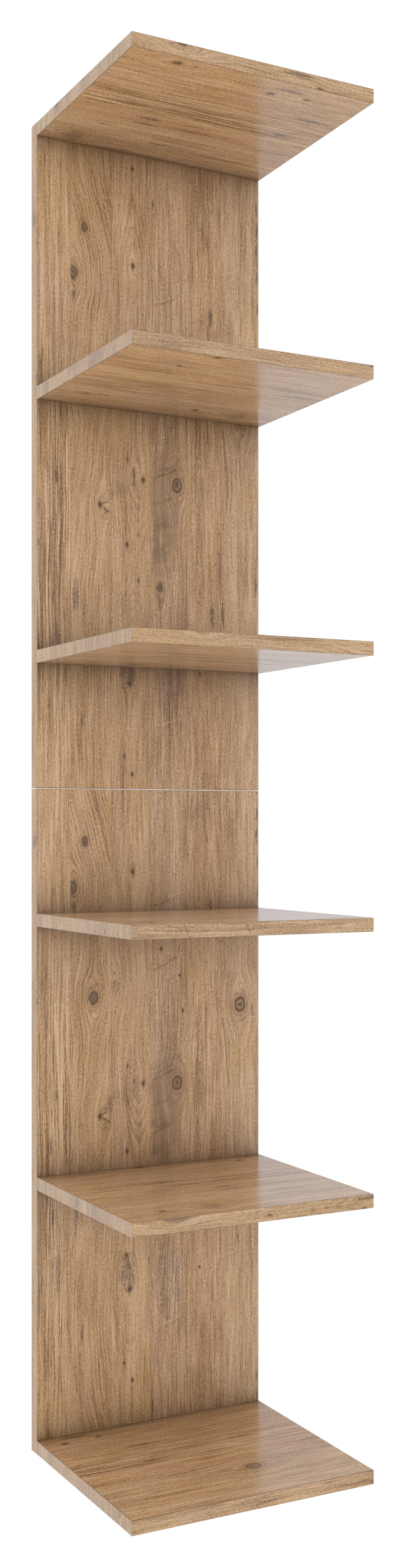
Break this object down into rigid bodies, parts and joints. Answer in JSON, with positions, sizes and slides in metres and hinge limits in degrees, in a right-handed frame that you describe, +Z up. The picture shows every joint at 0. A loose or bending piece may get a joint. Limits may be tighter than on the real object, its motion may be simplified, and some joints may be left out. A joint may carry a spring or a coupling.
{
  "type": "wall shelf",
  "caption": "Tall narrow wall shelf in a light rustic wood decor: deep open shelves butted against a split back panel that hangs on recessed keyhole plates.",
  "frame": {"origin": "on the wall plane, midway between the seats of the two upper keyholes, on the upper panel's back", "axes": "+X to the right as seen from the front, +Y into the wall, +Z up; the shelves reach out towards -Y"},
  "size_m": [0.345, 0.318, 1.8],
  "materials": {
    "panel_decor": "satin melamine face with a rustic pine picture, grain upright",
    "shelf_decor": "semi-gloss melamine face with a rustic pine picture, grain from side to side",
    "front_edging": "satin edging strip with the wood picture along it",
    "side_edging": "satin pale edging strip with a faint wood picture",
    "zinc_steel": "bright zinc plating"
  },
  "bodies": {
    "root": {"upper_back_panel": "panel_decor", "upper_back_panel_left_edging": "side_edging", "upper_back_panel_right_edging": "side_edging", "upper_back_panel_top_edging": "front_edging", "upper_back_panel_bottom_edging": "front_edging", "upper_left_hanger": "zinc_steel", "upper_left_hanger_upper_screw": "zinc_steel", "upper_left_hanger_lower_screw": "zinc_steel", "upper_right_hanger": "zinc_steel", "upper_right_hanger_upper_screw": "zinc_steel", "upper_right_hanger_lower_screw": "zinc_steel", "lower_back_panel": "panel_decor", "lower_back_panel_left_edging": "side_edging", "lower_back_panel_right_edging": "side_edging", "lower_back_panel_top_edging": "front_edging", "lower_back_panel_bottom_edging": "front_edging", "lower_left_hanger": "zinc_steel", "lower_left_hanger_upper_screw": "zinc_steel", "lower_left_hanger_lower_screw": "zinc_steel", "lower_right_hanger": "zinc_steel", "lower_right_hanger_upper_screw": "zinc_steel", "lower_right_hanger_lower_screw": "zinc_steel", "top_shelf": "shelf_decor", "top_shelf_front_edging": "front_edging", "top_shelf_left_edging": "side_edging", "top_shelf_right_edging": "side_edging", "top_shelf_left_screw": "zinc_steel", "top_shelf_right_screw": "zinc_steel", "second_shelf": "shelf_decor", "second_shelf_front_edging": "front_edging", "second_shelf_left_edging": "side_edging", "second_shelf_right_edging": "side_edging", "second_shelf_left_screw": "zinc_steel", "second_shelf_right_screw": "zinc_steel", "third_shelf": "shelf_decor", "third_shelf_front_edging": "front_edging", "third_shelf_left_edging": "side_edging", "third_shelf_right_edging": "side_edging", "third_shelf_left_screw": "zinc_steel", "third_shelf_right_screw": "zinc_steel", "fourth_shelf": "shelf_decor", "fourth_shelf_front_edging": "front_edging", "fourth_shelf_left_edging": "side_edging", "fourth_shelf_right_edging": "side_edging", "fourth_shelf_left_screw": "zinc_steel", "fourth_shelf_right_screw": "zinc_steel", "fifth_shelf": "shelf_decor", "fifth_shelf_front_edging": "front_edging", "fifth_shelf_left_edging": "side_edging", "fifth_shelf_right_edging": "side_edging", "fifth_shelf_left_screw": "zinc_steel", "fifth_shelf_right_screw": "zinc_steel", "bottom_shelf": "shelf_decor", "bottom_shelf_front_edging": "front_edging", "bottom_shelf_left_edging": "side_edging", "bottom_shelf_right_edging": "side_edging", "bottom_shelf_left_screw": "zinc_steel", "bottom_shelf_right_screw": "zinc_steel"}
  },
  "joints": []
}
